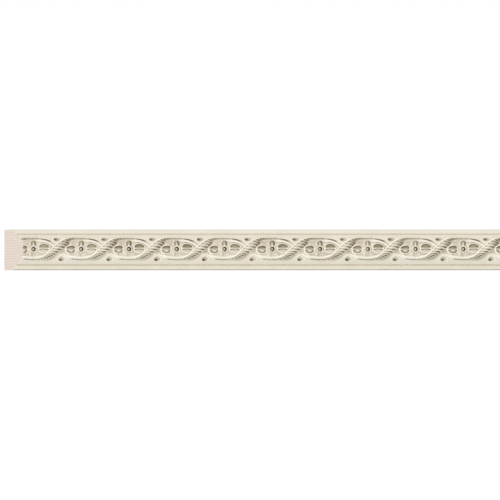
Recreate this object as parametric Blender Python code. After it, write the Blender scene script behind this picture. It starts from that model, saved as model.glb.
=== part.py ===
"""Carved wooden moulding strip: a domed strip between two sloping fillets, carved with a two-strand
guilloche whose rising strands are twisted like rope, and a four-petal flower in every eye.

Metres, +Z up. The strip lies along X, its flat back is in the plane y = 0 and its carved front
faces -Y. The origin is the middle of the back, where the strip is fixed to a wall.
"""

import math

import bmesh
import bpy
from mathutils import Vector

MM = 0.001

# Driving sizes of the strip
LENGTH = 500 * MM
HEIGHT = 40 * MM
SIDE_DEPTH = 8.9 * MM
ARRIS = 1.3 * MM
ARRIS_STEPS = 2
FILLET_DEPTH = 11.9 * MM
QUIRK_OUTER = 15.7 * MM
QUIRK_FLOOR = 15.0 * MM
QUIRK_DEPTH = 11.0 * MM
DOME_HALF = 14.6 * MM
DOME_FOOT_DEPTH = 14.2 * MM
DOME_TOP_DEPTH = 19.0 * MM
DOME_SEGMENTS = 8

# The dome is an arc through its two feet and its top
DOME_RISE = DOME_TOP_DEPTH - DOME_FOOT_DEPTH
DOME_RADIUS = (DOME_HALF**2 + DOME_RISE**2) / (2 * DOME_RISE)
DOME_CENTRE_DEPTH = DOME_TOP_DEPTH - DOME_RADIUS

# The repeat of the carving
PITCH = 47.25 * MM
FIRST_FLOWER = -LENGTH / 2 + 29.3 * MM
FLOWERS = 11
CROSSINGS = 12
FIRST_CROSSING = FIRST_FLOWER - PITCH / 2
OVERRUN = 10 * MM
SUNK = 0.8 * MM

# Both strands follow one wave, from a crest over one flower to a trough under the next. The wave is
# steeper than a sine in its middle, and its crests are a little broader than its troughs
WAVE = 9.1 * MM
WAVE_LIFT = 0.3 * MM
WAVE_STEEPER = 0.45
WAVE_BROADER = 0.066
BAND_HALF = 2.1 * MM
BAND_RIDGE = 0.72
BAND_RISE = 1.15 * MM
BAND_GROOVE = 0.6 * MM
BAND_DIP = 0.35
BAND_STATIONS = 9

# The rope that lies over each crossing. Its reaches are counted in half-pitches from the crossing
ROPE_REACH = 1.38
ROPE_TAPER = 1.12
ROPE_BULGE = 0.9
ROPE_THIN = 0.08
ROPE_HALF = 3.2 * MM
ROPE_END_RADIUS = 0.45 * MM
ROPE_CROSSING_RISE = 2.2 * MM
ROPE_ARC_RISE = 1.5 * MM
ROPE_STATIONS = 14
ROPE_SIDES = 8

# The flower: a pearl in a ringed button, two long petals and two short ones. Each petal has its
# near end, its far end and its half-width, and the right one sits a little above the middle
RIGHT_PETAL = (4.6 * MM, 16.2 * MM, 4.4 * MM)
RIGHT_PETAL_LIFT = 1.4 * MM
LEFT_PETAL = (5.3 * MM, 15.4 * MM, 4.4 * MM)
UPPER_PETAL = (3.1 * MM, 8.2 * MM, 3.7 * MM)
LOWER_PETAL = (2.8 * MM, 7.0 * MM, 3.5 * MM)
PETAL_RISE = 1.5 * MM
PETAL_EDGE = 0.5 * MM
PETAL_RIM = 1.5 * MM
PETAL_HOLLOW = 0.45 * MM
VEIN_INSET = 1.9 * MM
VEIN_RISE = 1.2 * MM
VEIN_WIDTH = 0.12
LONG_PETAL_SIDES = 8
SHORT_PETAL_SIDES = 6
BUTTON_RINGS = ((3.3 * MM, -SUNK), (2.9 * MM, 1.6 * MM), (1.75 * MM, 0.7 * MM), (1.1 * MM, 1.75 * MM))
BUTTON_SIDES = 8

# The eye that is gouged in each triangle between the strands and the dome's edge. Its place is
# counted along and across from the crossing
UPPER_EYE = (-0.4 * MM, 10.6 * MM)
LOWER_EYE = (4.2 * MM, -9.6 * MM)
EYE_LENGTH = 6.8 * MM
EYE_WIDTH = 5.4 * MM
EYE_POINT = 0.35
# Each level is the share of the mouth's size, the rise, and the shift along as a share of the length
EYE_LEVELS = ((1.2, 0.6 * MM, 0.02), (0.5, -1.2 * MM, -0.1), (0.12, -2.2 * MM, -0.18))
EYE_SIDES = 6

IVORY = (0.80, 0.75, 0.62, 1.0)


def clear_scene():
    for thing in list(bpy.data.objects):
        bpy.data.objects.remove(thing, do_unlink=True)


def make_material(name, colour, roughness):
    material = bpy.data.materials.new(name)
    material.use_nodes = True
    shader = material.node_tree.nodes["Principled BSDF"]
    shader.inputs["Base Color"].default_value = colour
    shader.inputs["Roughness"].default_value = roughness
    shader.inputs["Metallic"].default_value = 0.0
    return material


def on_dome(along, across, rise):
    """A point of the flat carving pattern, rolled onto the dome. across is measured on its surface."""
    angle = across / DOME_RADIUS
    reach = DOME_RADIUS + rise
    depth = DOME_CENTRE_DEPTH + reach * math.cos(angle)
    return Vector((along, -depth, reach * math.sin(angle)))


def loft(mesh, rings):
    """Skins a closed body over rings that have the same number of points, with flat ends."""
    loops = [[mesh.verts.new(point) for point in ring] for ring in rings]
    sides = len(loops[0])
    for near, far in zip(loops, loops[1:]):
        for i in range(sides):
            j = (i + 1) % sides
            mesh.faces.new((near[i], near[j], far[j], far[i]))
    mesh.faces.new(list(reversed(loops[0])))
    mesh.faces.new(loops[-1])


def add_object(name, mesh, material=None):
    bmesh.ops.recalc_face_normals(mesh, faces=mesh.faces)
    data = bpy.data.meshes.new(name)
    mesh.to_mesh(data)
    mesh.free()
    thing = bpy.data.objects.new(name, data)
    bpy.context.scene.collection.objects.link(thing)
    if material:
        data.materials.append(material)
    return thing


def hide_cutter(thing):
    thing.hide_render = True
    thing.display_type = "WIRE"


# The strip's section and its plain length


def half_section():
    """(height, depth) points of the section's upper half, from the back's edge to the dome's top."""
    corner = HEIGHT / 2
    points = [(corner, 0.0)]
    for i in range(ARRIS_STEPS + 1):
        turn = math.pi / 2 * i / ARRIS_STEPS
        points.append((corner - ARRIS * (1 - math.cos(turn)), SIDE_DEPTH + ARRIS * math.sin(turn)))
    points.append((QUIRK_OUTER, FILLET_DEPTH))
    points.append((QUIRK_FLOOR, QUIRK_DEPTH))
    foot = math.asin(DOME_HALF / DOME_RADIUS)
    for i in range(DOME_SEGMENTS // 2 + 1):
        angle = foot * (1 - 2 * i / DOME_SEGMENTS)
        depth = DOME_CENTRE_DEPTH + DOME_RADIUS * math.cos(angle)
        points.append((DOME_RADIUS * math.sin(angle), depth))
    return points


def make_strip(material):
    upper = half_section()
    lower = [(-height, depth) for height, depth in reversed(upper[:-1])]
    start = -LENGTH / 2 - OVERRUN
    end = LENGTH / 2 + OVERRUN
    mesh = bmesh.new()
    corners = [mesh.verts.new((start, -depth, height)) for height, depth in upper + lower]
    section = mesh.faces.new(corners)
    drawn = bmesh.ops.extrude_face_region(mesh, geom=[section])
    moved = [item for item in drawn["geom"] if isinstance(item, bmesh.types.BMVert)]
    bmesh.ops.translate(mesh, verts=moved, vec=(end - start, 0, 0))
    return add_object("carved_moulding", mesh, material)


# The two strands


def wave(pitches):
    """A strand's height across the dome, counted in pitches from one of its crests."""
    away = abs((pitches + 1) % 2 - 1)
    x = 1 - 2 * away
    x += WAVE_BROADER * (1 - x * x)
    return WAVE_LIFT + WAVE * math.sin(math.pi / 2 * x * (1 + WAVE_STEEPER * (1 - x * x)))


def strand(along, first_rises):
    """(across, share of full rise) of a strand that rises through every second crossing."""
    from_flower = (along - FIRST_FLOWER) / PITCH
    across = wave(from_flower if first_rises else from_flower - 1)
    beats = (along - FIRST_CROSSING) / PITCH
    crossing = round(beats)
    if (crossing % 2 == 0) == first_rises:
        return across, 1.0
    return across, 1 - BAND_DIP * math.cos(math.pi * (beats - crossing)) ** 2


def make_band(first_rises):
    """The smooth band with a groove down its middle that each strand is cut from."""
    start = FIRST_CROSSING - PITCH
    steps = BAND_STATIONS * (FLOWERS + 2)
    step = PITCH / BAND_STATIONS
    rings = []
    for i in range(steps + 1):
        along = start + i * step
        across, share = strand(along, first_rises)
        ahead = strand(along + step / 4, first_rises)[0]
        behind = strand(along - step / 4, first_rises)[0]
        direction = Vector((step / 2, ahead - behind)).normalized()
        side = Vector((-direction.y, direction.x))
        ring = []
        for lateral, rise in (
            (1.0, -SUNK),
            (BAND_RIDGE, BAND_RISE * share),
            (0.0, BAND_GROOVE * share),
            (-BAND_RIDGE, BAND_RISE * share),
            (-1.0, -SUNK),
        ):
            offset = side * (lateral * BAND_HALF)
            ring.append(on_dome(along + offset.x, across + offset.y, rise))
        rings.append(ring)
    mesh = bmesh.new()
    loft(mesh, rings)
    return add_object("band_rising_first" if first_rises else "band_falling_first", mesh)


def ease(value, low, high):
    share = max(0.0, min(1.0, (value - low) / (high - low)))
    return share * share * (3 - 2 * share)


def rope_edge(x):
    """How far the rope reaches to its left of the strand's middle, as a share of its half-width."""
    swelling = ROPE_THIN + (1 - ROPE_THIN) * ease(x, -1.0, -0.1)
    return swelling * (1 - ease(abs(x), ROPE_TAPER, ROPE_REACH))


def make_ropes():
    """One tapered S-shaped rope over each crossing, from one trough of the wave to the next crest."""
    mesh = bmesh.new()
    for crossing in range(CROSSINGS):
        centre = FIRST_CROSSING + crossing * PITCH
        rings = []
        for i in range(ROPE_STATIONS + 1):
            x = ROPE_REACH * (2 * i / ROPE_STATIONS - 1)
            from_crest = (x - 1) / 2
            nudge = 0.005
            climb = wave(from_crest + nudge) - wave(from_crest - nudge)
            direction = Vector((2 * nudge * PITCH, climb)).normalized()
            side = Vector((-direction.y, direction.x))
            bulge = 1 - ease(abs(x), 0.0, ROPE_BULGE)
            half = BAND_HALF + (ROPE_HALF - BAND_HALF) * bulge
            left = rope_edge(x) * half
            right = -rope_edge(-x) * half
            radius = max((left - right) / 2, ROPE_END_RADIUS)
            middle = (left + right) / 2
            top = ROPE_ARC_RISE + (ROPE_CROSSING_RISE - ROPE_ARC_RISE) * bulge
            top = min(top, BAND_GROOVE + 2 * radius)
            ring = []
            for j in range(ROPE_SIDES):
                turn = 2 * math.pi * j / ROPE_SIDES
                offset = side * (middle + radius * math.cos(turn))
                along = centre + x * PITCH / 2 + offset.x
                rise = top - radius + radius * math.sin(turn)
                ring.append(on_dome(along, wave(from_crest) + offset.y, rise))
            rings.append(ring)
        loft(mesh, rings)
    return add_object("ropes", mesh)


# The flowers


def petal_outline(inner, outer, half_width, sides, shrink):
    """(along the petal, across it) points of a leaf-shaped oval, drawn in evenly by shrink."""
    middle = (inner + outer) / 2
    half_length = (outer - inner) / 2
    points = []
    for i in range(sides):
        turn = 2 * math.pi * i / sides
        out = middle + (half_length - shrink) * math.cos(turn)
        points.append((out, (half_width - shrink) * math.sin(turn)))
    return points


def add_petal(mesh, centre, lift, turn, size, sides, with_vein):
    """A raised leaf with a hollow in it, and a vein along the hollow where there is room."""
    inner, outer, half_width = size
    levels = [(0.0, 1.0, -SUNK), (PETAL_EDGE, 1.0, PETAL_RISE), (PETAL_RIM, 1.0, PETAL_HOLLOW)]
    if with_vein:
        levels.append((VEIN_INSET, VEIN_WIDTH, VEIN_RISE))
    cosine = math.cos(turn)
    sine = math.sin(turn)
    rings = []
    for shrink, narrowing, rise in levels:
        ring = []
        for out, side in petal_outline(inner, outer, half_width, sides, shrink):
            side *= narrowing
            along = centre + out * cosine - side * sine
            ring.append(on_dome(along, lift + out * sine + side * cosine, rise))
        rings.append(ring)
    loft(mesh, rings)


def flower_centre(number):
    return FIRST_FLOWER + number * PITCH


def make_long_petals():
    mesh = bmesh.new()
    for number in range(FLOWERS):
        centre = flower_centre(number)
        add_petal(mesh, centre, RIGHT_PETAL_LIFT, 0.0, RIGHT_PETAL, LONG_PETAL_SIDES, True)
        add_petal(mesh, centre, 0.0, math.pi, LEFT_PETAL, LONG_PETAL_SIDES, True)
    return add_object("long_petals", mesh)


def make_short_petals():
    mesh = bmesh.new()
    for number in range(FLOWERS):
        centre = flower_centre(number)
        add_petal(mesh, centre, 0.0, math.pi / 2, UPPER_PETAL, SHORT_PETAL_SIDES, False)
        add_petal(mesh, centre, 0.0, -math.pi / 2, LOWER_PETAL, SHORT_PETAL_SIDES, False)
    return add_object("short_petals", mesh)


def make_buttons():
    """A disc with a ring sunk in it and a pearl in the ring."""
    mesh = bmesh.new()
    for number in range(FLOWERS):
        rings = []
        for radius, rise in BUTTON_RINGS:
            ring = []
            for i in range(BUTTON_SIDES):
                turn = 2 * math.pi * (i + 0.5) / BUTTON_SIDES
                along = flower_centre(number) + radius * math.cos(turn)
                ring.append(on_dome(along, radius * math.sin(turn), rise))
            rings.append(ring)
        loft(mesh, rings)
    return add_object("buttons", mesh)


# The gouged eyes and the two end cuts


def make_eye_cutters():
    """Skewed cones, blunt towards the dome's edge and deepest left of their middle."""
    mesh = bmesh.new()
    for crossing in range(CROSSINGS):
        for shift, height in (UPPER_EYE, LOWER_EYE):
            centre = FIRST_CROSSING + crossing * PITCH + shift
            inwards = -math.copysign(1.0, height)
            rings = []
            for size, rise, lean in EYE_LEVELS:
                ring = []
                for i in range(EYE_SIDES):
                    turn = 2 * math.pi * i / EYE_SIDES
                    narrowing = 1 - EYE_POINT * max(0.0, inwards * math.sin(turn))
                    along = EYE_LENGTH / 2 * size * narrowing * math.cos(turn) + lean * EYE_LENGTH
                    across = EYE_WIDTH / 2 * size * math.sin(turn)
                    ring.append(on_dome(centre + along, height + across, rise))
                rings.append(ring)
            loft(mesh, rings)
    thing = add_object("eye_cutters", mesh)
    hide_cutter(thing)
    return thing


def make_trim_block():
    """What is kept of the long strip: mitred at 45 degrees on the left, square on the right."""
    front = -0.040
    back = 0.010
    left = -LENGTH / 2
    right = LENGTH / 2
    mesh = bmesh.new()
    plan = ((left - back, back), (left - front, front), (right, front), (right, back))
    corners = [mesh.verts.new((x, y, -HEIGHT)) for x, y in plan]
    floor = mesh.faces.new(corners)
    drawn = bmesh.ops.extrude_face_region(mesh, geom=[floor])
    moved = [item for item in drawn["geom"] if isinstance(item, bmesh.types.BMVert)]
    bmesh.ops.translate(mesh, verts=moved, vec=(0, 0, 2 * HEIGHT))
    thing = add_object("trim_block", mesh)
    hide_cutter(thing)
    return thing


def combine(strip, other, operation):
    modifier = strip.modifiers.new(f"{operation.lower()}_{other.name}", "BOOLEAN")
    modifier.operation = operation
    modifier.object = other
    modifier.solver = "EXACT"


def main():
    clear_scene()
    strip = make_strip(make_material("ivory_paint", IVORY, 0.45))
    strands = [make_band(True), make_band(False), make_ropes()]
    flowers = [make_long_petals(), make_short_petals(), make_buttons()]
    for piece in strands + flowers:
        hide_cutter(piece)
        combine(strip, piece, "UNION")
    combine(strip, make_eye_cutters(), "DIFFERENCE")
    combine(strip, make_trim_block(), "INTERSECT")


main()
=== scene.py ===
"""A carved wooden trim moulding in ivory paint, rubbed with a brown patina.

The strip lies along X with its flat back in the plane y = 0 and its carving facing -Y. The carving is
modelled flat on the bench first: X along the strip, Y across it and Z the rise above the dome. It is
then stood up, bent over the dome and joined to the moulded strip.
"""

import math

import bmesh
import bpy
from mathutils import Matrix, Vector


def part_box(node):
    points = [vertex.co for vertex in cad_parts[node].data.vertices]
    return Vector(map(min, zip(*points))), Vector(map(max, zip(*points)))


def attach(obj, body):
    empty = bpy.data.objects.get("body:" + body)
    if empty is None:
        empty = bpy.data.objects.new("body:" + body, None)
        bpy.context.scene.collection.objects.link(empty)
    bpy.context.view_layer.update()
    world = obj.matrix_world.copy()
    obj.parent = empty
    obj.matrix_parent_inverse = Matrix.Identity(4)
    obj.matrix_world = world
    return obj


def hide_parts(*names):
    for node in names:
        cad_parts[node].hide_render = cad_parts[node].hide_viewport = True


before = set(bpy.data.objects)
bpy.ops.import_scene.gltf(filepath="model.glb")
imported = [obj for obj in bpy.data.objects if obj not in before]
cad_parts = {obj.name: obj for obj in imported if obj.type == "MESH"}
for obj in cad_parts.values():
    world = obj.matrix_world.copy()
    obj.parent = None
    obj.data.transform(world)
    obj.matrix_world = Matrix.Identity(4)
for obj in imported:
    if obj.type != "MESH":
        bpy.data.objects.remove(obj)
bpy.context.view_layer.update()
bpy.ops.object.select_all(action="DESELECT")

# Camera, light and floor
# The strip is seen straight on through a long lens, a touch from below, before a white background.
# The light is soft and comes from the front, and the pale floor lies below the picture.
MM = 0.001
LENS = 600
SENSOR = 36
SHOWN_WIDTH = 495 * MM
AIM = Vector((-6.4 * MM, -15 * MM, -0.5 * MM))
CAMERA_ELEVATION = math.radians(-2)
CLIP_NEAR = 0.1
CLIP_FAR = 40
WHITE = (1, 1, 1, 1)
ROOM_LIGHT = 0.6
FLOOR_DROP = 0.5
FLOOR_SIZE = 2.4

distance = SHOWN_WIDTH / SENSOR * LENS
bpy.ops.object.camera_add(
    location=AIM + distance * Vector((0, -math.cos(CAMERA_ELEVATION), math.sin(CAMERA_ELEVATION))),
    rotation=(math.pi / 2 - CAMERA_ELEVATION, 0, 0),
)
camera = bpy.context.active_object
camera.data.sensor_width = SENSOR
camera.data.lens = LENS
camera.data.clip_start = CLIP_NEAR
camera.data.clip_end = CLIP_FAR
bpy.context.scene.camera = camera


def add_softbox(name, place, size, power):
    """A square area light that faces the middle of the strip."""
    bpy.ops.object.light_add(type="AREA", location=place)
    light = bpy.context.active_object
    light.name = name
    light.rotation_euler = (-Vector(place)).to_track_quat("-Z", "Y").to_euler()
    light.data.size = size
    light.data.energy = power


add_softbox("key_softbox", (0.6, -1.7, 1.1), 0.6, 6)
add_softbox("front_softbox", (-0.5, -2.4, -0.35), 1.6, 24.5)

world = bpy.data.worlds.new("white_room")
bpy.context.scene.world = world
world.use_nodes = True
room = world.node_tree
backdrop = room.nodes["Background"]
backdrop.inputs["Color"].default_value = WHITE
backdrop.inputs["Strength"].default_value = 1.0
ambient = room.nodes.new("ShaderNodeBackground")
ambient.inputs["Color"].default_value = WHITE
ambient.inputs["Strength"].default_value = ROOM_LIGHT
rays = room.nodes.new("ShaderNodeLightPath")
chosen = room.nodes.new("ShaderNodeMixShader")
room.links.new(rays.outputs["Is Camera Ray"], chosen.inputs["Fac"])
room.links.new(ambient.outputs["Background"], chosen.inputs[1])
room.links.new(backdrop.outputs["Background"], chosen.inputs[2])
room.links.new(chosen.outputs["Shader"], room.nodes["World Output"].inputs["Surface"])
bpy.context.scene.view_settings.view_transform = "Standard"

bpy.ops.mesh.primitive_plane_add(size=FLOOR_SIZE, location=(0, 0, -FLOOR_DROP))
floor = bpy.context.active_object
floor.name = "studio_floor"
pale = bpy.data.materials.new("pale_floor")
pale.use_nodes = True
floor_surface = pale.node_tree.nodes["Principled BSDF"]
floor_surface.inputs["Base Color"].default_value = (0.8, 0.8, 0.79, 1)
floor_surface.inputs["Roughness"].default_value = 0.9
floor.data.materials.append(pale)

# The moulded strip
# A straight length of softwood, run through the moulder: a dome between two sloping fillets, with a
# narrow quirk on each side of the dome and the two front corners softened. The back is left flat.
low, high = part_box("carved_moulding")
LENGTH = high.x - low.x
HEIGHT = high.z - low.z
OVERRUN = 10 * MM
SIDE_DEPTH = 8.9 * MM
ARRIS = 1.3 * MM
ARRIS_STEPS = 5
FILLET_DEPTH = 11.9 * MM
QUIRK_OUTER = 15.7 * MM
QUIRK_FLOOR = 15.0 * MM
QUIRK_DEPTH = 11.0 * MM
DOME_HALF = 14.6 * MM
DOME_FOOT_DEPTH = 14.2 * MM
DOME_TOP_DEPTH = 19.0 * MM
DOME_LINES = 32
STRIP_PARTS = (18, 20)

DOME_RISE = DOME_TOP_DEPTH - DOME_FOOT_DEPTH
DOME_RADIUS = (DOME_HALF**2 + DOME_RISE**2) / (2 * DOME_RISE)
DOME_CENTRE_DEPTH = DOME_TOP_DEPTH - DOME_RADIUS
NEAR = 0.01 * MM


def take(thing):
    """Makes this the only selected object, and the active one."""
    bpy.ops.object.select_all(action="DESELECT")
    bpy.context.view_layer.objects.active = thing
    thing.select_set(True)


def edit(thing):
    """Opens the object in edit mode, with nothing selected in it."""
    take(thing)
    bpy.ops.object.mode_set(mode="EDIT")
    bpy.ops.mesh.select_all(action="DESELECT")


def pick_edges(thing, test):
    """Selects the edges that pass the test. The object is open in edit mode, and stays so."""
    mesh = bmesh.from_edit_mesh(thing.data)
    mesh.select_mode = {"EDGE"}
    for edge in mesh.edges:
        edge.select_set(test(*(corner.co for corner in edge.verts)))
    mesh.select_flush_mode()
    bmesh.update_edit_mesh(thing.data)


def divide_lengthwise(thing, parts):
    """Divides the edges along X into equal parts, and each part again. The object is in edit mode."""
    pick_edges(thing, lambda a, b: abs(a.x - b.x) > NEAR)
    for part in parts:
        bpy.ops.mesh.subdivide(number_cuts=part - 1)
        pick_edges(thing, lambda a, b: abs(a.x - b.x) > NEAR)
    bpy.ops.object.mode_set(mode="OBJECT")


def shape(thing, place):
    """Puts every vertex where place says, from where it is."""
    for vertex in thing.data.vertices:
        vertex.co = place(*vertex.co)


def paint_wash(thing, amount):
    """Marks how dark the wash is painted, 0 to 1, from each vertex's present place: the patina, with
    painted shade and highlight in some places.
    """
    wash = thing.data.attributes.get("wash") or thing.data.attributes.new("wash", "FLOAT", "POINT")
    for vertex, mark in zip(thing.data.vertices, wash.data):
        mark.value = amount(*vertex.co)


def ease(value, low, high):
    """0 up to low, 1 from high on, and a smooth step between them."""
    share = max(0.0, min(1.0, (value - low) / (high - low)))
    return share * share * (3 - 2 * share)


bpy.ops.mesh.primitive_cube_add(size=1, location=(0, -(SIDE_DEPTH + ARRIS) / 2, 0))
strip = bpy.context.active_object
strip.name = "carved_strip"
strip.scale = (LENGTH + 2 * OVERRUN, SIDE_DEPTH + ARRIS, HEIGHT)
bpy.ops.object.transform_apply(location=True, rotation=True, scale=True)
edit(strip)
pick_edges(strip, lambda a, b: max(a.y, b.y) < -SIDE_DEPTH and abs(a.z - b.z) < NEAR)
bpy.ops.mesh.bevel(offset=ARRIS, segments=ARRIS_STEPS, profile=0.5)
foot = math.asin(DOME_HALF / DOME_RADIUS)
heights = [DOME_RADIUS * math.sin(foot * (1 - 2 * i / DOME_LINES)) for i in range(DOME_LINES + 1)]
for height in [QUIRK_OUTER, QUIRK_FLOOR] + heights + [-QUIRK_FLOOR, -QUIRK_OUTER]:
    bpy.ops.mesh.select_all(action="SELECT")
    bpy.ops.mesh.bisect(plane_co=(0, 0, height), plane_no=(0, 0, 1))
divide_lengthwise(strip, STRIP_PARTS)

# The lines that the carving follows
# Two strands run along the strip on one wave, half a repeat apart. Each rises through every second
# crossing, and a flower fills each eye between them. The ground in the eyes is cut a little deeper.
PITCH = 47.25 * MM
FIRST_FLOWER = -LENGTH / 2 + 29.3 * MM
FLOWERS = 11
CROSSINGS = 12
FIRST_CROSSING = FIRST_FLOWER - PITCH / 2
WAVE = 9.1 * MM
WAVE_LIFT = 0.3 * MM
WAVE_STEEPER = 0.45
WAVE_BROADER = 0.066
GROUND_DEPTH = 0.35 * MM
GROUND_EDGE = (0.6 * MM, 2.4 * MM)
GROUND_WASH = 0.29
# The dome has a slight ripple in both directions, in radians for each millimetre
RIPPLE_HEIGHT = 0.02 * MM
RIPPLE_ALONG = 1.3
RIPPLE_ACROSS = 1.1
PLAIN_WASH = 0.1
# The underside and the lowest part of the bottom arris are painted darker as painted shade
UNDERSIDE_PAINTED_SHADE = 0.28
# The quirks were wiped cleaner than the other hollows
QUIRK_WASH = -0.4
# A painted shadow lies on the ground along the lower right of each rope, between a start and an end
# that are counted in half-pitches from the crossing
PAINTED_SHADOW_BESIDE_ROPE = (-6.8 * MM, -4.8 * MM)
PAINTED_SHADOW_SHIFT = 1.7 * MM
PAINTED_SHADOW_SHIFTS = (0.1, 0.6)
PAINTED_SHADOW_WASH = 0.38
PAINTED_SHADOW_START = (-0.85, -0.35)
PAINTED_SHADOW_END = (0.25, 0.65)


def wave(pitches):
    """A strand's height across the dome, counted in pitches from one of its crests."""
    away = abs((pitches + 1) % 2 - 1)
    x = 1 - 2 * away
    x += WAVE_BROADER * (1 - x * x)
    return WAVE_LIFT + WAVE * math.sin(math.pi / 2 * x * (1 + WAVE_STEEPER * (1 - x * x)))


def heading(pitches):
    """The direction of a strand, as a unit vector on the bench."""
    nudge = 0.005
    climb = wave(pitches + nudge) - wave(pitches - nudge)
    return Vector((2 * nudge * PITCH, climb)).normalized()


def beside_strand(along, crest, lateral, rise, ahead=0.0):
    """A point to the left of a strand's middle line, and ahead along it. Its crest is at crest."""
    pitches = (along - crest) / PITCH
    way = heading(pitches)
    x = along - way.y * lateral + way.x * ahead
    return Vector((x, wave(pitches) + way.x * lateral + way.y * ahead, rise))


def ground(along, across):
    """(rise, wash) of the bare ground at a place on the bench: the wash is the darker of the patina and
    the rope's painted shadow.
    """
    flowers = (along - FIRST_FLOWER) / PITCH
    one, other = wave(flowers), wave(flowers - 1)
    inside = ease(min(max(one, other) - across, across - min(one, other)), *GROUND_EDGE)
    beat = ((along - FIRST_CROSSING) / PITCH + 0.5) % 1 * 2 - 1
    way = heading((beat - 1) / 2)
    lateral = (across - wave((beat - 1) / 2)) * way.x
    lateral -= PAINTED_SHADOW_SHIFT * ease(-beat, *PAINTED_SHADOW_SHIFTS)
    shade = ease(lateral, *PAINTED_SHADOW_BESIDE_ROPE) if lateral < 0 else 0.0
    shade *= ease(beat, *PAINTED_SHADOW_START) * (1 - ease(beat, *PAINTED_SHADOW_END))
    return -GROUND_DEPTH * inside, max(PLAIN_WASH, GROUND_WASH * inside, PAINTED_SHADOW_WASH * shade)


def to_section(x, y, z):
    """Moves a point of the board's front face to the moulded section's depth."""
    height = abs(z)
    if y > -SIDE_DEPTH - ARRIS + NEAR or height > QUIRK_OUTER + NEAR:
        return Vector((x, y, z))
    if height > QUIRK_OUTER - NEAR:
        return Vector((x, -FILLET_DEPTH, z))
    if height > QUIRK_FLOOR - NEAR:
        return Vector((x, -QUIRK_DEPTH, z))
    angle = math.asin(z / DOME_RADIUS)
    reach = DOME_RADIUS + ground(x, angle * DOME_RADIUS)[0]
    reach += RIPPLE_HEIGHT * math.sin(x / MM * RIPPLE_ALONG) * math.sin(z / MM * RIPPLE_ACROSS + 1)
    return Vector((x, -DOME_CENTRE_DEPTH - reach * math.cos(angle), reach * math.sin(angle)))


def strip_wash(x, y, z):
    """How dark the strip is painted before the carving is added: the patina, with painted shade on the
    underside and a painted shadow beside the ropes.
    """
    if z < ARRIS / 2 - HEIGHT / 2:
        return UNDERSIDE_PAINTED_SHADE
    if y > -SIDE_DEPTH - ARRIS - NEAR:
        return PLAIN_WASH
    if abs(z) < DOME_HALF - NEAR:
        return ground(x, math.asin(z / DOME_RADIUS) * DOME_RADIUS)[1]
    return QUIRK_WASH if abs(abs(z) - QUIRK_FLOOR) < NEAR else PLAIN_WASH


shape(strip, to_section)
paint_wash(strip, strip_wash)

# The two smooth strands
# Each strand is a flat band left standing from the ground, with a groove run down it between two soft
# ridges. In the arcs the groove moves to the outer edge. A strand sinks where it passes underneath.
BAND_HALF = 2.1 * MM
BAND_FOOT = -1.6 * MM
BAND_RISE = 1.15 * MM
BAND_DIP = 0.35
DIP_UNDER_ROPE = 0.85
DIP_STARTS = (0.6, 0.9)
DIP_ENDS = (0.35, 0.7)
BAND_STATIONS = 40
BAND_LINES = 13
# Places on the section are shares of the half-width, and rises there are shares of the band's rise
SIDE_PLACE = 0.97
SIDE_RISE = 0.3
SHOULDER_PLACE = 0.87
SHOULDER_RISE = 0.8
GROOVE_PLACE = 0.26
GROOVE_AT_CREST = 0.25
GROOVE_AT_TROUGH = -0.76
GROOVE_HALF = 0.32
GROOVE_RISE = 0.25 * MM
GROOVE_ROUNDING = 0.1 * MM
OUTER_RIDGE_LOSS = 0.85
# Each change happens between two shares of the way from a crossing: up to a crest for these two
GROOVE_MOVES_OUT = (0.3, 0.8)
UPPER_ARC = (0.22, 0.42)
# and down to a trough for these
GROOVE_CHANGES_SIDE = (0.45, 0.6)
GROOVE_FADES = (0.25, 0.5)
GROOVE_RETURNS = (0.55, 0.85)
LOWER_ARC = (0.5, 0.8)
OUT_OF_THE_SHADE = (0.15, 0.29)
GROOVE_WASH = 0.4
GROOVE_SIDE_WASH = 0.8
OUTER_RIDGE_WASH = 0.75
RIDGE_WASH = 0.05
CREST_WASH = 0.2
# In pitches past the crest
CREST_WASH_ENDS = (-0.04, 0.14)
FOOT_WASH = 0.15


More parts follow.
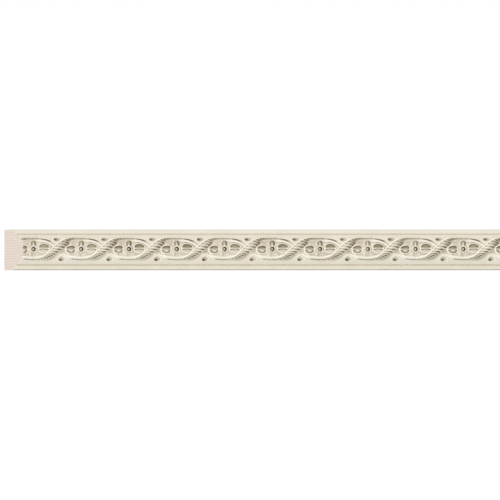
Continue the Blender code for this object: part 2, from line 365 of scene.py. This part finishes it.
def band_section(past_crest):
    """(share of the half-width, rise, wash) of each of the section's lines, in pitches past a crest."""
    crestness = 1 - 2 * abs(past_crest)
    groove = GROOVE_PLACE
    groove += GROOVE_AT_CREST * ease(crestness, *GROOVE_MOVES_OUT)
    groove += GROOVE_AT_TROUGH * ease(-crestness, *GROOVE_CHANGES_SIDE)
    cut = 1 - ease(-crestness, *GROOVE_FADES) + ease(-crestness, *GROOVE_RETURNS)
    floor_rise = BAND_RISE * SHOULDER_RISE + (GROOVE_RISE - BAND_RISE * SHOULDER_RISE) * cut
    arc = 1.0
    if past_crest > 0:
        arc = ease(crestness, *UPPER_ARC) if crestness > 0 else ease(-crestness, *LOWER_ARC)
    sunk = BAND_RISE * (1 - OUTER_RIDGE_LOSS * arc)
    inner_wash, outer_wash = RIDGE_WASH, max(RIDGE_WASH, OUTER_RIDGE_WASH * arc)
    if crestness > 0:
        left, right = BAND_RISE, sunk
        inner_wash += CREST_WASH * arc * (1 - ease(past_crest, *CREST_WASH_ENDS))
        left_wash, right_wash = inner_wash, outer_wash
    else:
        left, right = sunk, BAND_RISE
        # Just past the crossing the strand carries the rope's painted shadow
        if past_crest > 0:
            inner_wash += PAINTED_SHADOW_WASH * (1 - ease(-crestness, *OUT_OF_THE_SHADE))
        left_wash, right_wash = max(inner_wash, outer_wash), inner_wash
    inner, outer = groove - GROOVE_HALF, groove + GROOVE_HALF
    groove_wash = GROOVE_WASH * cut
    groove_wash += (OUTER_RIDGE_WASH - groove_wash) * arc
    groove_side = (floor_rise + GROOVE_ROUNDING, groove_wash * GROOVE_SIDE_WASH)
    left_foot, right_foot = FOOT_WASH + left_wash / 2, FOOT_WASH + right_wash / 2
    return (
        (-1.0, BAND_FOOT, left_foot),
        (-SIDE_PLACE, left * SIDE_RISE, left_foot),
        (-SHOULDER_PLACE, left * SHOULDER_RISE, left_wash),
        ((inner - SHOULDER_PLACE) / 2, left, left_wash),
        (inner, left * SHOULDER_RISE, left_wash),
        (groove - GROOVE_HALF / 2, *groove_side),
        (groove, floor_rise, groove_wash),
        (groove + GROOVE_HALF / 2, *groove_side),
        (outer, right * SHOULDER_RISE, right_wash),
        ((outer + SHOULDER_PLACE) / 2, right, right_wash),
        (SHOULDER_PLACE, right * SHOULDER_RISE, right_wash),
        (SIDE_PLACE, right * SIDE_RISE, right_foot),
        (1.0, BAND_FOOT, right_foot),
    )


def dip(along, rises_first):
    """A strand's share of its full rise: it sinks under the other one, and deeper under its own rope."""
    crossing = round((along - FIRST_CROSSING) / PITCH)
    beat = 2 * ((along - FIRST_CROSSING) / PITCH - crossing)
    if (crossing % 2 == 0) != rises_first:
        return 1 - BAND_DIP * math.cos(math.pi / 2 * beat) ** 2
    risen = ease(-beat, *DIP_STARTS) if beat < 0 else ease(beat, *DIP_ENDS)
    return 1 - DIP_UNDER_ROPE * (1 - risen)


def make_strand(name, rises_first):
    """A strand from end to end of the strip, on a flat foot that is sunk into it."""
    bpy.ops.mesh.primitive_grid_add(
        x_subdivisions=BAND_STATIONS * (FLOWERS + 2), y_subdivisions=BAND_LINES - 1, size=1
    )
    band = bpy.context.active_object
    band.name = name
    edit(band)
    bpy.ops.mesh.select_all(action="SELECT")
    bpy.ops.mesh.extrude_region_move(TRANSFORM_OT_translate={"value": (0, 0, 1)})
    bpy.ops.mesh.select_all(action="SELECT")
    bpy.ops.mesh.normals_make_consistent(inside=False)
    bpy.ops.object.mode_set(mode="OBJECT")
    start = FIRST_CROSSING - PITCH
    crest = FIRST_FLOWER if rises_first else FIRST_FLOWER + PITCH

    def line_at(x, y):
        along = start + (x + 0.5) * PITCH * (FLOWERS + 2)
        past_crest = ((along - crest) / PITCH + 1) % 2 - 1
        return along, band_section(past_crest)[round((y + 0.5) * (BAND_LINES - 1))]

    def place(x, y, z):
        along, (share, rise, _) = line_at(x, y)
        rise = BAND_FOOT if z < 0.5 else rise * dip(along, rises_first) if rise > 0 else rise
        return beside_strand(along, crest, share * BAND_HALF, rise)

    paint_wash(band, lambda x, y, z: line_at(x, y)[1][2])
    shape(band, place)
    return band


carving = [make_strand("strand_rising_first", True), make_strand("strand_falling_first", False)]

# The ropes
# Over each crossing the rising strand is cut as a twisted rope: leaning ridges with a sharp cut
# between them. It is fullest at the crossing and runs out along the outer edges of the two arcs.
RIDGES = 28
ROPE_REACH = 1.38
ROPE_TAPER = 1.18
ROPE_SIDES = 16
ROPE_LEAN = 0.9
ROPE_CROSSING_RISE = 2.3 * MM
ROPE_ARC_RISE = 1.25 * MM
ROPE_RISES = (0.1, 0.9)
ROPE_FOOT = -1.2 * MM
ROPE_SUNK = -0.25
ROPE_LEAST_HALF = 0.2 * MM
ROPE_SQUARENESS = 0.33
ROPE_SKIRT = 0.2 * MM
# A line beside the strand's middle is where it starts, in millimetres, and its moves: how far each one
# goes, and the two beats between which it happens. A beat is half a pitch, counted from the crossing.
ROPE_LEFT = (0.4, ((2.0, -0.8, -0.1), (0.4, 0.3, 0.6), (-0.3, 0.6, 1.0)))
ROPE_RIGHT_BEFORE = (-4.3, ((2.1, 0.0, 0.65),))
ROPE_RIGHT_AFTER = (-4.3, ((4.1, 0.05, 0.75),))
# The cuts fall behind an even spacing towards the crossing, and catch up after it
RIDGE_PHASE = 0.03
RIDGE_LAG = 0.11
RIDGE_LAG_MIDDLE = -0.09
RIDGE_LAG_REACH = 0.55
# Each step of a ridge is its place between one cut and the next, and its share of the full rise
RIDGE_STEPS = ((0.0, 0.0), (0.16, 0.2), (0.3, 0.8), (0.5, 1.0), (0.7, 0.8), (0.84, 0.2))
RIDGE_CUT = 1.5 * MM
RIDGE_NOTCH = 0.15 * MM
# Up to this beat the cuts are shallower at their left end
SHALLOW_UNTIL = 0.3
SHALLOWER = 0.4
# The patina in a cut, all along it and then what each end adds, the right end's share being painted
# shade, and the patina on a ridge, lightened on its left side as a painted highlight
CUT_WASH = 0.25
CUT_RIGHT_PAINTED_SHADE = 0.9
CUT_LEFT_WASH = 0.3
ROPE_WASH = 0.08
ROPE_LEFT_PAINTED_HIGHLIGHT = 0.06
ROPE_CREST_WASH = 0.36
ROPE_TROUGH_WASH = 0.32
LOWER_HALF = -0.01


def line_beside(line, beat):
    """How far to the left of the strand's middle a line runs."""
    start, moves = line
    return (start + sum(move * ease(beat, first, last) for move, first, last in moves)) * MM


def rope_rise(beat):
    """How high the rope's ridges stand."""
    fall = ease(abs(beat), *ROPE_RISES)
    return ROPE_ARC_RISE + (ROPE_CROSSING_RISE - ROPE_ARC_RISE) * (1 - fall)


bpy.ops.mesh.primitive_cylinder_add(
    vertices=ROPE_SIDES, radius=1, depth=2, end_fill_type="NGON", rotation=(0, math.pi / 2, 0)
)
rope = bpy.context.active_object
rope.name = "ropes"
bpy.ops.object.transform_apply(location=True, rotation=True, scale=True)
edit(rope)
divide_lengthwise(rope, (RIDGES, len(RIDGE_STEPS)))
rope_stations = RIDGES * len(RIDGE_STEPS)


def rope_station(x):
    """(beat, share of the full rise) of a ring of the straight rope."""
    ridge, step = divmod(round((x + 1) / 2 * rope_stations), len(RIDGE_STEPS))
    phase, fullness = RIDGE_STEPS[step]
    beat = ROPE_REACH * (2 * (ridge + phase + RIDGE_PHASE - 0.5) / RIDGES - 1)
    return beat - RIDGE_LAG * (1 - ease(abs(beat - RIDGE_LAG_MIDDLE), 0, RIDGE_LAG_REACH)), fullness


def rope_place(x, y, z):
    beat, fullness = rope_station(x)
    taper = 1 - ease(abs(beat), ROPE_TAPER, ROPE_REACH)
    left = line_beside(ROPE_LEFT, beat)
    right = line_beside(ROPE_RIGHT_BEFORE if beat < 0 else ROPE_RIGHT_AFTER, abs(beat))
    middle = (left + right) / 2
    radius = max((left - right) / 2 * (0.4 + 0.6 * taper), ROPE_LEAST_HALF)
    cut = (1 - fullness) * min(1.0, radius / MM)
    turn = math.atan2(z, y)
    lateral = middle + (radius - RIDGE_NOTCH * cut) * math.cos(turn)
    height = ROPE_FOOT
    if math.sin(turn) > LOWER_HALF:
        shallower = SHALLOWER * ease(math.cos(turn), 0.0, 0.9) if beat < SHALLOW_UNTIL else 0.0
        top = rope_rise(beat) * (ROPE_SUNK + (1 - ROPE_SUNK) * taper)
        top -= RIDGE_CUT * cut * (1 - shallower)
        height = top * max(0.0, math.sin(turn)) ** ROPE_SQUARENESS - ROPE_SKIRT * (1 - math.sin(turn))
    along = FIRST_CROSSING + beat * PITCH / 2
    return beside_strand(along, FIRST_FLOWER, lateral, height, ROPE_LEAN * (middle - lateral))


def rope_wash(x, y, z):
    """The patina lies in each cut, darker at its lower right end as painted shade, and past the crossing
    fills the other end too. The ridges are lighter on their upper left as a painted highlight.
    """
    beat, fullness = rope_station(x)
    cut = CUT_WASH + CUT_RIGHT_PAINTED_SHADE * ease(-y, -0.3, 1.0)
    cut += CUT_LEFT_WASH * ease(y, -0.5, 0.5) * ease(beat, 0.2, 0.6)
    ridge = ROPE_WASH - ROPE_LEFT_PAINTED_HIGHLIGHT * y
    ridge += ROPE_CREST_WASH * ease(beat, 0.0, 0.6) + ROPE_TROUGH_WASH * ease(-beat, 0.5, 0.8)
    return cut + (ridge - cut) * fullness**0.7


paint_wash(rope, rope_wash)
shape(rope, rope_place)


def repeat_along(thing, times):
    """Copies a piece along the strip, a pitch apart, each copy with its own mesh, and joins them."""
    copies = [thing]
    for number in range(1, times):
        copy = thing.copy()
        copy.data = thing.data.copy()
        bpy.context.scene.collection.objects.link(copy)
        shape(copy, lambda x, y, z: Vector((x + number * PITCH, y, z)))
        copies.append(copy)
    take(thing)
    for copy in copies:
        copy.select_set(True)
    bpy.ops.object.join()
    return bpy.context.active_object


carving.append(repeat_along(rope, CROSSINGS))

# The rims of the ropes
# A smooth bead runs up the upper left edge of each rope. It grows out of the strand's inner ridge in
# the trough, and dies away before the crest.
RIM_REACH = (-1.1, 0.66)
RIM_SIDES = 10
RIM_PARTS = 48
RIM_HALF_AT_TROUGH = 1.05 * MM
RIM_HALF = 0.75 * MM
RIM_THINS = (-0.6, -0.1)
RIM_GROWS_OVER = 0.4
RIM_DIES_OVER = 0.35
RIM_LINE = (1.05, ((1.95, -0.8, -0.08), (-0.5, 0.4, 0.7)))
RIM_BELOW_ROPE = 0.05 * MM

bpy.ops.mesh.primitive_cylinder_add(
    vertices=RIM_SIDES, radius=1, depth=2, end_fill_type="NGON", rotation=(0, math.pi / 2, 0)
)
rim = bpy.context.active_object
rim.name = "rope_rims"
bpy.ops.object.transform_apply(location=True, rotation=True, scale=True)
edit(rim)
divide_lengthwise(rim, (RIM_PARTS,))


def rim_place(x, y, z):
    start, end = RIM_REACH
    beat = start + (x + 1) / 2 * (end - start)
    full = ease(beat, start, start + RIM_GROWS_OVER) * (1 - ease(beat, end - RIM_DIES_OVER, end))
    radius = RIM_HALF_AT_TROUGH + (RIM_HALF - RIM_HALF_AT_TROUGH) * ease(beat, *RIM_THINS)
    radius *= 0.3 + 0.7 * full
    lateral = line_beside(RIM_LINE, beat) + radius * y
    top = (0.4 + 0.6 * full) * (rope_rise(beat) - RIM_BELOW_ROPE)
    height = top - radius + radius * z if z > LOWER_HALF else ROPE_FOOT
    return beside_strand(FIRST_CROSSING + beat * PITCH / 2, FIRST_FLOWER, lateral, height)


paint_wash(rim, lambda x, y, z: 0.0)
shape(rim, rim_place)
carving.append(repeat_along(rim, CROSSINGS))

# The flowers
# Each eye holds four petals round a button. A petal is a soft mound, and two gouge cuts in it leave a
# vein standing between them. The cuts are stained dark with patina, and their upper edges are darkened
# further with painted shade.
# A mound is its middle, its half-sizes along and across, and its rise, in millimetres from the flower
MOUNDS = {
    "right_petals": (10.3, 1.3, 6.7, 5.3, 1.15),
    "left_petals": (-10.5, -0.1, 6.4, 5.2, 1.15),
    "upper_petals": (-0.2, 5.7, 4.3, 3.2, 1.1),
    "lower_petals": (-0.5, -5.3, 4.0, 2.6, 1.0),
}
MOUND_SIDES = 36
# Each ring of a mound is its share of the half-sizes, its share of the rise, and its wash
MOUND_RINGS = (
    (1.0, -1.4, 0.1),
    (1.0, -0.3, 0.1),
    (0.96, 0.15, 0.1),
    (0.9, 0.6, 0.05),
    (0.83, 0.9, 0.0),
    (0.76, 1.0, 0.0),
    (0.68, 1.0, 0.25),
)


def make_rings(name, sides, count):
    """A round column of unit radius, drawn up ring by ring."""
    bpy.ops.mesh.primitive_circle_add(vertices=sides, radius=1, fill_type="NGON")
    column = bpy.context.active_object
    column.name = name
    edit(column)
    bpy.ops.mesh.select_all(action="SELECT")
    for _ in range(count - 1):
        bpy.ops.mesh.extrude_region_move(TRANSFORM_OT_translate={"value": (0, 0, 1)})
    bpy.ops.mesh.select_all(action="SELECT")
    bpy.ops.mesh.normals_make_consistent(inside=False)
    bpy.ops.object.mode_set(mode="OBJECT")
    return column


for name, (along, across, half_length, half_width, rise) in MOUNDS.items():
    mound = make_rings(name, MOUND_SIDES, len(MOUND_RINGS))

    def mound_place(x, y, z):
        size, height, _ = MOUND_RINGS[round(z)]
        spot = Vector((along + half_length * size * x, across + half_width * size * y, rise * height))
        return spot * MM + Vector((FIRST_FLOWER, 0, 0))

    paint_wash(mound, lambda x, y, z: MOUND_RINGS[round(z)][2])
    shape(mound, mound_place)
    carving.append(repeat_along(mound, FLOWERS))

# A cut is its middle, its half-length, how far it reaches left and right of its own line, how far its
# full width lies ahead of its middle, its turn in degrees, its depth, and how dark it is painted on its
# left wall, its floor and its right wall: patina, with painted shade added on the upper walls of the
# side petals' cuts
CUTS = {
    "right_upper_cut": (10.6, 1.9, 5.1, 3.3, 0.4, -0.15, 0, -0.3, 0.68, 0.5, 0.42),
    "right_lower_cut": (10.3, -0.1, 4.7, 0.7, 2.2, 0.0, 0, -0.3, 0.85, 0.25, 0.15),
    "left_upper_cut": (-10.4, 0.9, 4.3, 2.7, 0.35, 0.35, 0, -0.3, 0.7, 0.55, 0.45),
    "left_lower_cut": (-10.3, -0.6, 4.2, 0.5, 3.2, 0.2, 0, 0.0, 0.6, 0.1, 0.6),
    "upper_right_cut": (0.78, 5.8, 2.7, 0.3, 2.2, 0.1, 103, -0.3, 0.5, 0.55, 0.62),
    "upper_left_cut": (-0.78, 5.8, 2.7, 2.2, 0.3, 0.1, 77, -0.2, 0.45, 0.4, 0.4),
    "lower_right_cut": (0.6, -5.0, 1.9, 0.3, 1.9, 0.0, 90, 0.25, 0.2, 0.2, 0.2),
    "lower_left_cut": (-0.6, -5.0, 1.9, 1.9, 0.3, 0.0, 90, 0.1, 0.28, 0.22, 0.25),
}
CUT_SIDES = 28
# Each ring of a cut is its share of the size, and its place between the depth and the mouth
CUT_RINGS = ((0.25, 0.0), (0.55, 0.04), (0.78, 0.18), (0.92, 0.45), (1.0, 0.8), (1.05, 1.0), (1.2, 1.8))
CUT_MOUTH = 1.1
CUT_MOUTH_CLEANER = 0.65

gouged = []
for name, (along, across, length, left, right, ahead, turn, depth, *marks) in CUTS.items():
    cut = make_rings(name, CUT_SIDES, len(CUT_RINGS))
    cosine, sine = math.cos(math.radians(turn)), math.sin(math.radians(turn))

    def cut_place(x, y, z):
        size, share = CUT_RINGS[round(z)]
        out = length * size * (x + ahead * (1 - x * x))
        side = (left if y > 0 else right) * size * y
        spot = Vector((along + out * cosine - side * sine, across + out * sine + side * cosine, 0))
        spot.z = depth + (CUT_MOUTH - depth) * share
        return spot * MM + Vector((FIRST_FLOWER, 0, 0))

    def cut_wash(x, y, z):
        size, share = CUT_RINGS[round(z)]
        left_wall, floor_wash, right_wall = marks
        wall = right_wall + (left_wall - right_wall) * ease(y, -0.7, 0.7)
        mark = floor_wash + (wall - floor_wash) * ease(size, 0.3, 0.8)
        return mark * (1 - CUT_MOUTH_CLEANER * ease(share, 0.6, 1.0))

    paint_wash(cut, cut_wash)
    shape(cut, cut_place)
    gouged.append(repeat_along(cut, FLOWERS))

# The buttons
# A round button stands in the middle of each flower. A ring is drilled into it, which leaves a pearl.
BUTTON_SIDES = 28
# Each ring of the button is its radius, its rise and its wash
BUTTON_RINGS = (
    (3.35, -1.4, 0.1),
    (3.3, 0.5, 0.1),
    (3.15, 1.2, 0.0),
    (2.75, 1.4, 0.0),
    (2.4, 1.2, 0.2),
    (2.2, 0.5, 0.65),
    (1.9, 0.0, 0.75),
    (1.3, 0.0, 0.75),
    (1.05, 0.4, 0.6),
    (0.95, 0.9, 0.4),
    (0.7, 1.3, 0.25),
    (0.35, 1.5, 0.2),
)
BUTTON_LIFT = 0.2
# How much darker the button's right and upper sides are painted: painted shade on top of the patina
PAINTED_SHADE_RIGHT = 0.42
PAINTED_SHADE_TOP = 0.12

button = make_rings("buttons", BUTTON_SIDES, len(BUTTON_RINGS))


def button_place(x, y, z):
    radius, rise, _ = BUTTON_RINGS[round(z)]
    return Vector((radius * x, radius * y + BUTTON_LIFT, rise)) * MM + Vector((FIRST_FLOWER, 0, 0))


def button_wash(x, y, z):
    return BUTTON_RINGS[round(z)][2] * (1 + PAINTED_SHADE_RIGHT * x + PAINTED_SHADE_TOP * y)


paint_wash(button, button_wash)
shape(button, button_place)
buttons = repeat_along(button, FLOWERS)

# The gouged eyes
# A small teardrop is gouged into the ground above and below each crossing, deepest on its left.
# An eye is its middle, its half-sizes along and across, its point, and the lean of its floor
EYES = {
    "upper_eyes": (-0.3, 10.5, 4.0, 2.6, -0.2, (-1.7, 0.1)),
    "lower_eyes": (4.2, -9.3, 3.8, 3.0, 0.55, (-1.4, -2.1)),
}
EYE_SIDES = 28
# Each ring of an eye is its share of the mouth's size, its rise, its share of the lean, and its wash
EYE_RINGS = (
    (0.1, -1.6, 1.0, 0.8),
    (0.28, -1.5, 0.95, 0.75),
    (0.42, -1.0, 0.8, 0.5),
    (0.6, -0.6, 0.5, 0.28),
    (0.88, -0.2, 0.15, 0.22),
    (1.0, 0.05, 0.0, 0.1),
    (1.2, 1.2, 0.0, 0.0),
)

for name, (along, across, half_length, half_width, point, lean) in EYES.items():
    eye = make_rings(name, EYE_SIDES, len(EYE_RINGS))

    def eye_place(x, y, z):
        size, rise, share, _ = EYE_RINGS[round(z)]
        narrowing = 1 - point * max(0.0, y)
        out = along + half_length * size * narrowing * x + lean[0] * share
        side = across + half_width * size * y + lean[1] * share
        return Vector((out, side, rise)) * MM + Vector((FIRST_CROSSING, 0, 0))

    paint_wash(eye, lambda x, y, z: EYE_RINGS[round(z)][3])
    shape(eye, eye_place)
    gouged.append(repeat_along(eye, CROSSINGS))

# The carving on the strip
# The flat pattern is stood up, bent over the dome and made one with the strip, the gouge cuts are
# made, and the ends are sawn: a mitre on the left and a square cut on the right.
TRIM_FRONT = -40 * MM
TRIM_BACK = 10 * MM
SHARP = math.radians(40)
# The gouge cuts leave fresh edges on the veins, and a little patina is laid on them afterwards
VEIN_WASH = 0.17
VEIN_REACH = 0.7
VEIN_RISE = 0.6


def bend_over_dome(thing):
    """Stands a piece of the bench's flat pattern up and wraps it round the dome."""
    thing.rotation_euler = (math.pi / 2, 0, 0)
    take(thing)
    bpy.ops.object.transform_apply(location=True, rotation=True, scale=True)
    edges = [vertex.co.z for vertex in thing.data.vertices]
    bend = thing.modifiers.new("over_dome", "SIMPLE_DEFORM")
    bend.deform_method = "BEND"
    bend.deform_axis = "X"
    bend.angle = (max(edges) - min(edges)) / DOME_RADIUS
    bpy.ops.object.modifier_apply(modifier=bend.name)
    thing.location = (0, -DOME_TOP_DEPTH, 0)
    bpy.ops.object.transform_apply(location=True, rotation=True, scale=True)


def combine(other, operation):
    """Joins or cuts the strip with another piece, which is used up."""
    work = strip.modifiers.new(other.name, "BOOLEAN")
    work.operation = operation
    work.object = other
    work.solver = "MANIFOLD"
    take(strip)
    bpy.ops.object.modifier_apply(modifier=work.name)
    bpy.data.objects.remove(other, do_unlink=True)


for piece in carving:
    bend_over_dome(piece)
    combine(piece, "UNION")
for piece in gouged:
    bend_over_dome(piece)
    combine(piece, "DIFFERENCE")
bend_over_dome(buttons)
combine(buttons, "UNION")

trim_middle = ((low.x + high.x) / 2, (TRIM_FRONT + TRIM_BACK) / 2, 0)
bpy.ops.mesh.primitive_cube_add(size=1, location=trim_middle)
trim = bpy.context.active_object
trim.name = "trim_block"
trim.scale = (LENGTH, TRIM_BACK - TRIM_FRONT, 2 * HEIGHT)
bpy.ops.object.transform_apply(location=True, rotation=True, scale=True)
shape(trim, lambda x, y, z: Vector((x - y if x < 0 else x, y, z)))
paint_wash(trim, lambda x, y, z: 0.0)
combine(trim, "INTERSECT")
bpy.ops.object.shade_smooth_by_angle(angle=SHARP)


def on_a_vein(x, y, z):
    """Whether a place is on top of a petal, inside its rim."""
    outward = -y - DOME_CENTRE_DEPTH
    rise = math.hypot(z, outward) - DOME_RADIUS
    from_flower = ((x - FIRST_FLOWER) / PITCH + 0.5) % 1 - 0.5
    spot = Vector((from_flower * PITCH, math.atan2(z, outward) * DOME_RADIUS)) / MM
    for along, across, half_length, half_width, full_rise in MOUNDS.values():
        share = math.hypot((spot.x - along) / half_length, (spot.y - across) / half_width)
        if share < VEIN_REACH and rise > VEIN_RISE * full_rise * MM:
            return True
    return False


for vertex, mark in zip(strip.data.vertices, strip.data.attributes["wash"].data):
    if on_a_vein(*vertex.co):
        mark.value = max(mark.value, VEIN_WASH)

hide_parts("carved_moulding")
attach(strip, "root")

# The wood's grain
# Fine fibres along the strip, and broader growth lines that waver. Both materials use it: the bare
# wood shows it as colour and relief, and it comes faintly through the paint.
GROWTH_LINES = 120
FIBRE_STRETCH = (50, 1800, 1800)


def add_node(tree, kind, **settings):
    """A new node. A setting is an input, by name or _number, or else a property of the node."""
    node = tree.nodes.new(kind)
    for name, value in settings.items():
        label = int(name[1:]) if name[0] == "_" else name.replace("_", " ").title()
        if isinstance(label, str) and label not in node.inputs:
            setattr(node, name, value)
        elif isinstance(value, bpy.types.NodeSocket):
            tree.links.new(value, node.inputs[label])
        else:
            node.inputs[label].default_value = value
    return node


def add_maths(tree, operation, *values, **settings):
    """The result of a Math node on values or links."""
    inputs = {f"_{number}": value for number, value in enumerate(values)}
    return add_node(tree, "ShaderNodeMath", operation=operation, **inputs, **settings).outputs[0]


def add_range(tree, value, before, after):
    """A value carried from one range to another, and held at the ends."""
    limits = {f"_{number}": limit for number, limit in enumerate((*before, *after), start=1)}
    return add_node(tree, "ShaderNodeMapRange", _0=value, **limits).outputs["Result"]


def add_ramp(tree, factor, stops):
    """A colour ramp's result. Its first two stops are its ends, each a position and a colour."""
    ramp = tree.nodes.new("ShaderNodeValToRGB")
    tree.links.new(factor, ramp.inputs["Fac"])
    for number, (position, colour) in enumerate(stops):
        elements = ramp.color_ramp.elements
        stop = elements[number] if number < 2 else elements.new(position)
        stop.position = position
        stop.color = (*colour, 1)
    return ramp.outputs["Color"]


wood_grain = bpy.data.node_groups.new("wood_grain", "ShaderNodeTree")
for name, direction in (("Growth Lines", "OUTPUT"), ("Fibres", "OUTPUT"), ("Line Density", "INPUT")):
    wood_grain.interface.new_socket(name, in_out=direction, socket_type="NodeSocketFloat")
group_in = add_node(wood_grain, "NodeGroupInput")
group_out = add_node(wood_grain, "NodeGroupOutput")
place_in_wood = add_node(wood_grain, "ShaderNodeTexCoord").outputs["Object"]
growth = add_node(
    wood_grain,
    "ShaderNodeTexWave",
    bands_direction="Z",
    vector=place_in_wood,
    scale=group_in.outputs["Line Density"],
    distortion=2.5,
    detail=2.0,
    detail_scale=0.2,
)
stretched = add_node(wood_grain, "ShaderNodeMapping", vector=place_in_wood, scale=FIBRE_STRETCH)
fibres = add_node(
    wood_grain, "ShaderNodeTexNoise", vector=stretched.outputs["Vector"], scale=1.0, detail=3.0
)
wood_grain.links.new(growth.outputs["Fac"], group_out.inputs["Growth Lines"])
wood_grain.links.new(fibres.outputs["Fac"], group_out.inputs["Fibres"])

# The paint, its patina and painted shade
# Ivory paint all over the front and sides, rubbed with a brown patina that was wiped off the high
# places and stays in the hollows. It lies unevenly, and is duller than the satin paint under it. The
# same wash carries the painted shade and highlight laid on the carving.
CREVICE_REACH = 2.0 * MM
CREVICE_OPENNESS = 0.65
CREVICE_WASH = 0.8
NOISE_SPREAD = (0.3, 0.7)
PATCH_SCALE = 70.0
PATCH_WASH = (0.82, 1.18)
SPECK_SCALE = 1400.0
SPECK_WASH = (-0.03, 0.03)
DEEP_OPENNESS = (0.6, 0.3)
DEEP_TINT = (1, 0.96, 0.88, 1)
SATIN_TO_DULL = (0.45, 0.8)

paint = bpy.data.materials.new("ivory_paint_patina_and_shade")
paint.use_nodes = True
tree = paint.node_tree
surface = tree.nodes["Principled BSDF"]
place_on_paint = add_node(tree, "ShaderNodeTexCoord").outputs["Object"]
openness = add_node(tree, "ShaderNodeAmbientOcclusion", samples=8, distance=CREVICE_REACH).outputs["AO"]
# The wash attribute holds the patina and the painted shade and highlight set on the carving
rubbed_in_and_shade = add_node(tree, "ShaderNodeAttribute", attribute_name="wash").outputs["Fac"]
shut_in = add_maths(tree, "SUBTRACT", CREVICE_OPENNESS, openness, use_clamp=True)
gathered = add_maths(tree, "MULTIPLY_ADD", shut_in, CREVICE_WASH, rubbed_in_and_shade)
patches = add_node(tree, "ShaderNodeTexNoise", vector=place_on_paint, scale=PATCH_SCALE, detail=3.0)
patchiness = add_range(tree, patches.outputs["Fac"], NOISE_SPREAD, PATCH_WASH)
uneven = add_maths(tree, "MULTIPLY", gathered, patchiness)
specks = add_node(tree, "ShaderNodeTexNoise", vector=place_on_paint, scale=SPECK_SCALE, detail=2.0)
speckle = add_range(tree, specks.outputs["Fac"], NOISE_SPREAD, SPECK_WASH)
patina_and_shade = add_maths(tree, "ADD", uneven, speckle, use_clamp=True)
# The paint's colour by how thick the wash of patina and painted shade is: none, the thickest, and the
# steps between
PAINT_TONES = (
    (0.0, (0.97, 0.925, 0.83)),
    (1.0, (0.08, 0.058, 0.028)),
    (0.1, (0.81, 0.76, 0.64)),
    (0.32, (0.56, 0.495, 0.375)),
    (0.65, (0.27, 0.215, 0.13)),
)
# Deep in the cuts the patina is a warmer brown
how_deep = add_range(tree, openness, DEEP_OPENNESS, (0.0, 1.0))
paint_tone = add_ramp(tree, patina_and_shade, PAINT_TONES)
warmed = add_node(
    tree,
    "ShaderNodeMix",
    data_type="RGBA",
    blend_type="MULTIPLY",
    _0=how_deep,
    _6=paint_tone,
    _7=DEEP_TINT,
)
tree.links.new(warmed.outputs[2], surface.inputs["Base Color"])
tree.links.new(add_range(tree, patina_and_shade, (0.0, 1.0), SATIN_TO_DULL), surface.inputs["Roughness"])
under_paint = add_node(tree, "ShaderNodeGroup", node_tree=wood_grain, _0=GROWTH_LINES)
brushed = add_node(
    tree, "ShaderNodeBump", strength=0.25, distance=0.04 * MM, height=under_paint.outputs["Fibres"]
)
tree.links.new(brushed.outputs["Normal"], surface.inputs["Normal"])

# The bare wood
# The sawn ends and the flat back were never painted: pale, close-grained wood, matt from the saw.
WOOD_TONES = ((0.1, (0.91, 0.81, 0.72)), (0.75, (0.78, 0.66, 0.55)))
SAWN_ROUGHNESS = (0.7, 0.85)

bare_wood = bpy.data.materials.new("bare_wood")
bare_wood.use_nodes = True
tree = bare_wood.node_tree
surface = tree.nodes["Principled BSDF"]
wood = add_node(tree, "ShaderNodeGroup", node_tree=wood_grain, _0=GROWTH_LINES)
figure = add_maths(tree, "MULTIPLY", wood.outputs["Growth Lines"], wood.outputs["Fibres"])
tree.links.new(add_ramp(tree, figure, WOOD_TONES), surface.inputs["Base Color"])
tree.links.new(add_range(tree, figure, (0.0, 1.0), SAWN_ROUGHNESS), surface.inputs["Roughness"])
sawn_relief = add_node(
    tree, "ShaderNodeBump", strength=0.4, distance=0.08 * MM, height=wood.outputs["Fibres"]
)
tree.links.new(sawn_relief.outputs["Normal"], surface.inputs["Normal"])

strip.data.materials.clear()
strip.data.materials.append(paint)
strip.data.materials.append(bare_wood)
for face in strip.data.polygons:
    mitre = face.center.x + face.center.y < low.x + NEAR
    bare = mitre or face.center.x > high.x - NEAR or face.center.y > -NEAR
    face.material_index = 1 if bare else 0
